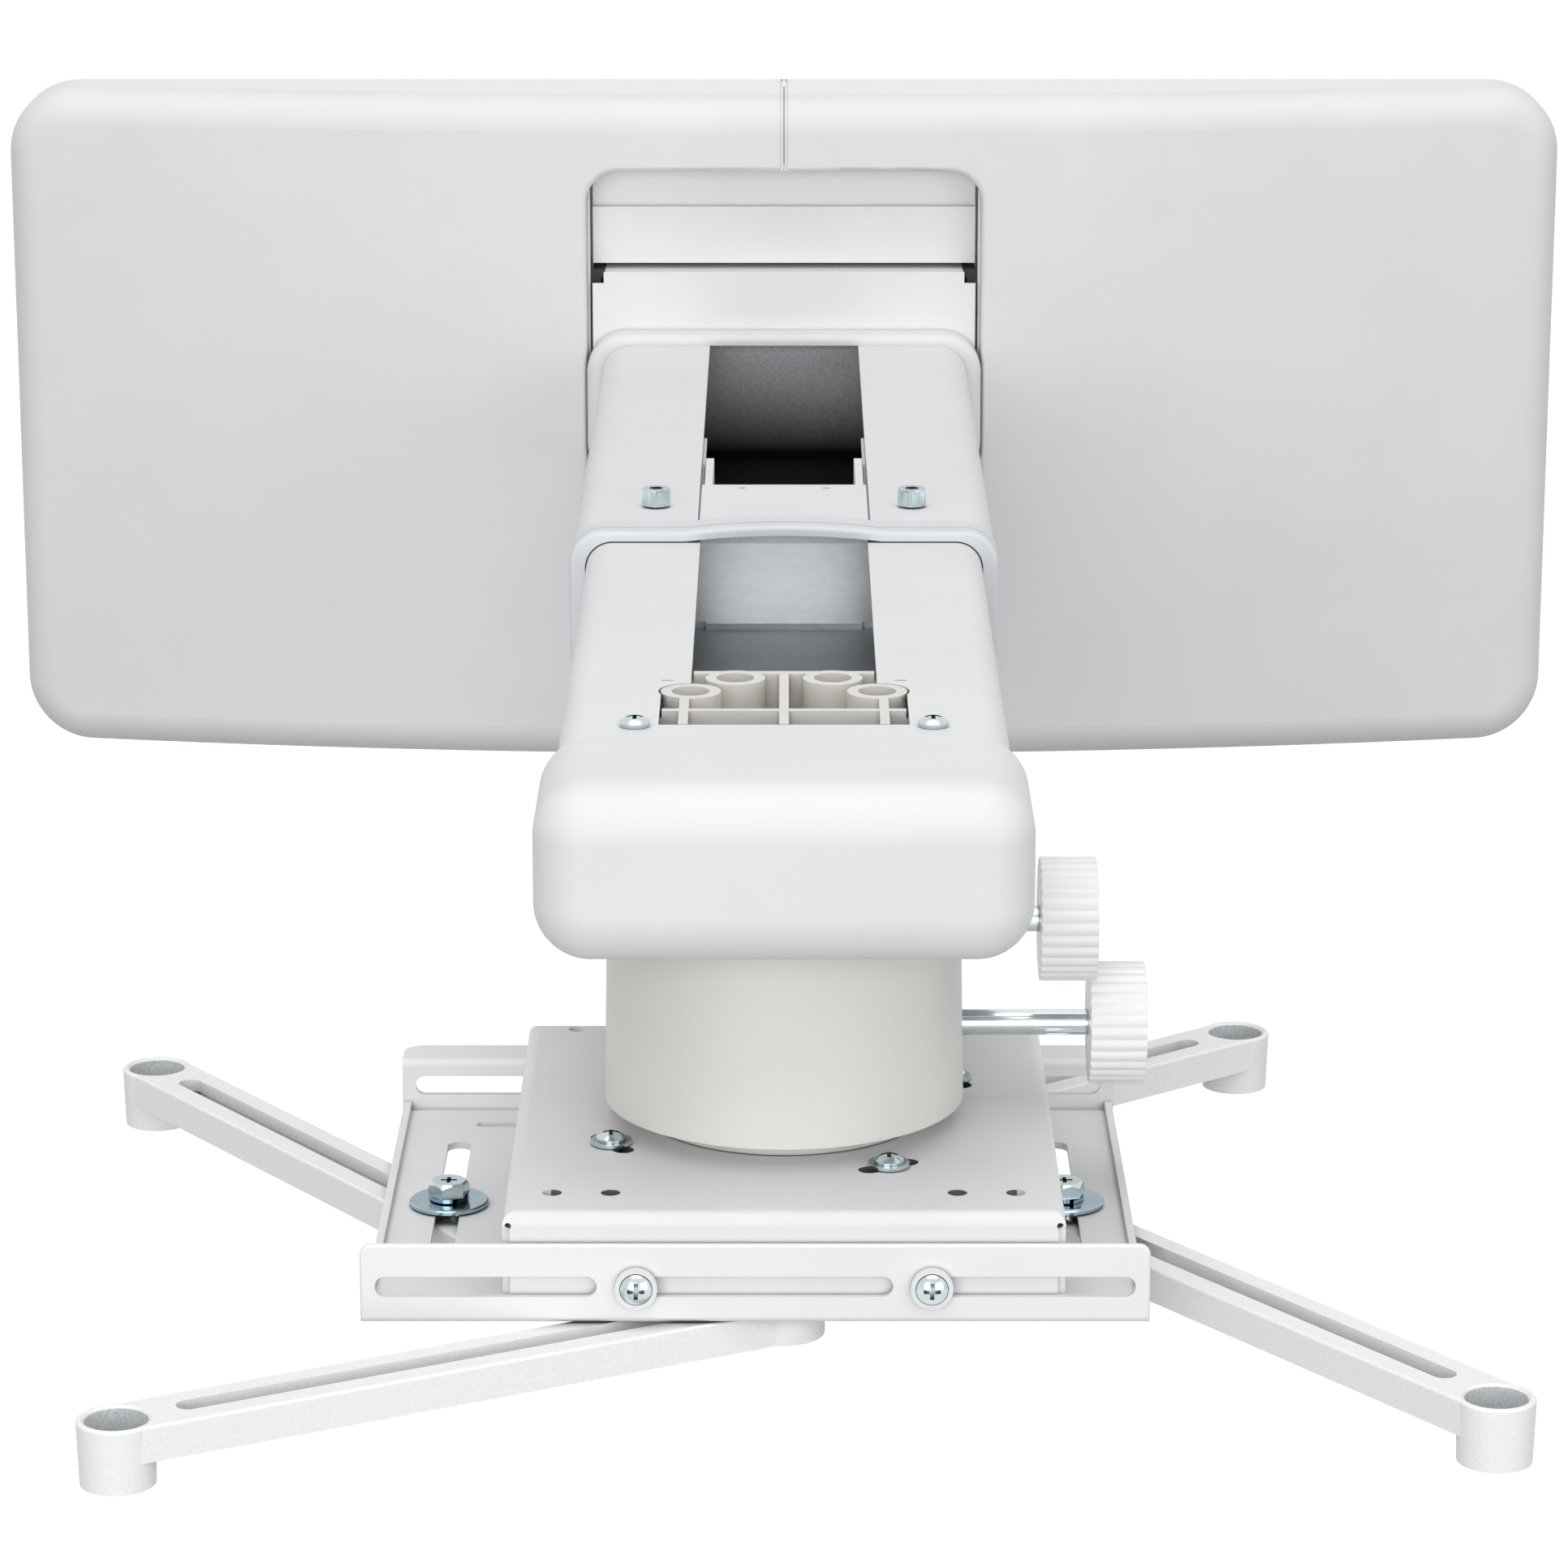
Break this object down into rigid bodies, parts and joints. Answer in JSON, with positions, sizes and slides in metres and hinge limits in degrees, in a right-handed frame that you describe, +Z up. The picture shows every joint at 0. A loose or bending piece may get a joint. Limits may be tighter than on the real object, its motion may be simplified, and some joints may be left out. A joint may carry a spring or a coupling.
{
  "type": "projector wall mount",
  "caption": "Telescoping wall arm with a two-part cover, tilting drum head, swivel plate, sliding tray and slotted cast legs that carry a projector below the arm.",
  "frame": {"origin": "centre of the wall plate's bolt pattern, on the wall plane", "axes": "+Y into the wall, -Y along the arm into the room, +Z up, +X to the right seen from the room"},
  "size_m": [0.558, 0.735, 0.2484],
  "materials": {
    "white_sheet": "smooth white powder coat",
    "cover_plastic": "fine matt moulded plastic",
    "soft_white_plastic": "satin moulded plastic",
    "knob_plastic": "satin moulded plastic",
    "cast_grey": "warm light grey painted casting",
    "bare_cast": "machined casting",
    "zinc": "bright blue-white zinc plate",
    "galvanised": "galvanised sheet",
    "pad_plastic": "natural nylon"
  },
  "bodies": {
    "base": {"wall_plate": "white_sheet", "hook_bracket": "white_sheet", "arm_base": "white_sheet", "base_collar": "soft_white_plastic", "cover_left": "cover_plastic", "cover_right": "cover_plastic", "outer_arm": "white_sheet", "slot_bridge": "white_sheet", "trim_ring": "soft_white_plastic", "clamp_screws": "zinc"},
    "arm": {"inner_arm": "white_sheet", "glide_pads": "pad_plastic", "arm_stiffener": "galvanised", "head_block": "cast_grey", "block_screws": "zinc", "front_cap": "cover_plastic", "pitch_pin": "zinc"},
    "gimbal": {"gimbal_ring": "bare_cast", "roll_pins": "zinc"},
    "head": {"drum": "cast_grey", "drum_base": "bare_cast", "swivel_disc": "white_sheet", "swivel_screws": "zinc"},
    "roll_adjuster": {"roll_knob": "knob_plastic", "roll_rod": "zinc"},
    "pitch_adjuster": {"pitch_knob": "knob_plastic", "pitch_rod": "zinc"},
    "plate": {"swivel_plate": "white_sheet", "tray_screws": "zinc", "tray_rings": "soft_white_plastic"},
    "tray": {"tray": "white_sheet"},
    "clamp_front_left": {"bolt_front_left": "zinc", "washers_front_left": "zinc", "nut_front_left": "zinc"},
    "leg_front_left": {"leg_front_left": "cast_grey"},
    "clamp_front_right": {"bolt_front_right": "zinc", "washers_front_right": "zinc", "nut_front_right": "zinc"},
    "leg_front_right": {"leg_front_right": "cast_grey"},
    "clamp_rear_left": {"bolt_rear_left": "zinc", "washers_rear_left": "zinc", "nut_rear_left": "zinc"},
    "leg_rear_left": {"leg_rear_left": "cast_grey"},
    "clamp_rear_right": {"bolt_rear_right": "zinc", "washers_rear_right": "zinc", "nut_rear_right": "zinc"},
    "leg_rear_right": {"leg_rear_right": "cast_grey"}
  },
  "joints": [
    {"name": "arm_slide", "type": "slide", "parent": "base", "child": "arm", "axis": [0, -1, 0], "range_m": [-0.12, 0.08]},
    {"name": "head_pitch", "type": "hinge", "parent": "arm", "child": "gimbal", "pos_m": [0, -0.573, -0.047], "axis": [1, 0, 0], "range_deg": [-5, 5]},
    {"name": "head_roll", "type": "hinge", "parent": "gimbal", "child": "head", "pos_m": [0, -0.573, -0.047], "axis": [0, 1, 0], "range_deg": [-5, 5]},
    {"name": "pitch_knob_turn", "type": "hinge", "parent": "head", "child": "pitch_adjuster", "pos_m": [0.0833, -0.561, -0.0594], "axis": [1, 0, 0], "range_deg": [-450, 450]},
    {"name": "roll_knob_turn", "type": "hinge", "parent": "head", "child": "roll_adjuster", "pos_m": [0.0689, -0.575, -0.0257], "axis": [1, 0, 0], "range_deg": [-450, 450]},
    {"name": "head_swivel", "type": "hinge", "parent": "head", "child": "plate", "pos_m": [0, -0.573, -0.081], "axis": [0, 0, 1], "range_deg": [-6, 6]},
    {"name": "tray_shift", "type": "slide", "parent": "plate", "child": "tray", "axis": [1, 0, 0], "range_m": [-0.048, 0.0025]},
    {"name": "leg_swing_front_left", "type": "hinge", "parent": "tray", "child": "clamp_front_left", "pos_m": [-0.014, -0.6459, -0.11], "axis": [0, 0, 1], "range_deg": [-10, 10]},
    {"name": "leg_slide_front_left", "type": "slide", "parent": "clamp_front_left", "child": "leg_front_left", "axis": [0.8869, 0.4619, 0], "range_m": [0, 0.03]},
    {"name": "leg_swing_front_right", "type": "hinge", "parent": "tray", "child": "clamp_front_right", "pos_m": [0.0768, -0.57265, -0.11], "axis": [0, 0, 1], "range_deg": [-10, 10]},
    {"name": "leg_slide_front_right", "type": "slide", "parent": "clamp_front_right", "child": "leg_front_right", "axis": [-0.5952, 0.8036, 0], "range_m": [0, 0.03]},
    {"name": "leg_swing_rear_left", "type": "hinge", "parent": "tray", "child": "clamp_rear_left", "pos_m": [-0.0918, -0.57265, -0.11], "axis": [0, 0, 1], "range_deg": [-10, 10]},
    {"name": "leg_slide_rear_left", "type": "slide", "parent": "clamp_rear_left", "child": "leg_rear_left", "axis": [0.5889, -0.8082, 0], "range_m": [0, 0.03]},
    {"name": "leg_swing_rear_right", "type": "hinge", "parent": "tray", "child": "clamp_rear_right", "pos_m": [0.008, -0.5114, -0.11], "axis": [0, 0, 1], "range_deg": [-10, 10]},
    {"name": "leg_slide_rear_right", "type": "slide", "parent": "clamp_rear_right", "child": "leg_rear_right", "axis": [-0.7812, -0.6243, 0], "range_m": [0, 0.03]}
  ],
  "couplings": [
    {"joint": "pitch_knob_turn", "follows": "head_pitch", "ratio": 90},
    {"joint": "roll_knob_turn", "follows": "head_roll", "ratio": 90}
  ]
}
